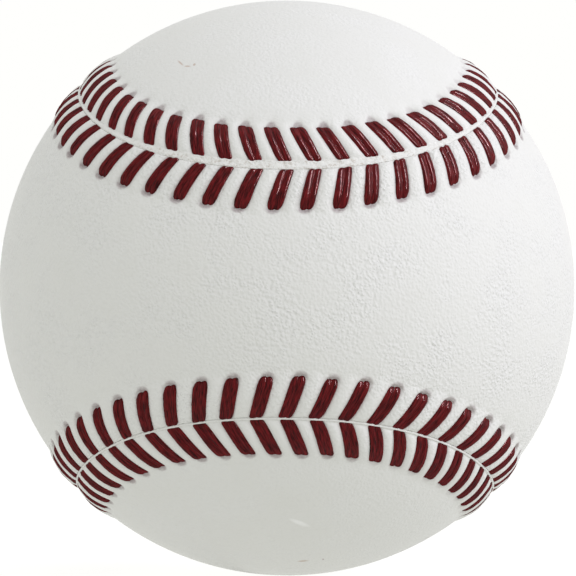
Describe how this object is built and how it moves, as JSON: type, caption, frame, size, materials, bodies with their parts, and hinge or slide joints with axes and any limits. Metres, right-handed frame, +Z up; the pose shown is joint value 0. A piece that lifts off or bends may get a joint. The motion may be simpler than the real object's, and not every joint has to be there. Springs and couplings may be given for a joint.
{
  "type": "baseball",
  "caption": "Stitched leather ball: cork and rubber pill, wound wool and cotton layers, and a two-panel leather cover sewn with red waxed thread along a raised seam.",
  "frame": {"origin": "centre of the ball", "axes": "+Z up as pictured, -Y towards the viewer and the waist of the front panel, +X to the viewer's right"},
  "size_m": [0.0738, 0.0738, 0.0738],
  "materials": {
    "cork": "pressed cork and rubber",
    "black_rubber": "moulded",
    "red_rubber": "moulded",
    "grey_wool": "wound yarn",
    "white_wool": "wound yarn",
    "cotton": "wound yarn",
    "leather": "white tanned, fine grain",
    "red_thread": "waxed"
  },
  "bodies": {
    "root": {"cork_core": "cork", "black_cup_upper": "black_rubber", "black_cup_lower": "black_rubber", "cushion_washer": "red_rubber", "red_cup_upper": "red_rubber", "red_cup_lower": "red_rubber", "winding_grey_four_ply": "grey_wool", "winding_white_wool": "white_wool", "winding_grey_wool": "grey_wool", "winding_cotton": "cotton", "cover_panel_front": "leather", "cover_panel_back": "leather", "thread_first": "red_thread", "thread_second": "red_thread"}
  },
  "joints": []
}
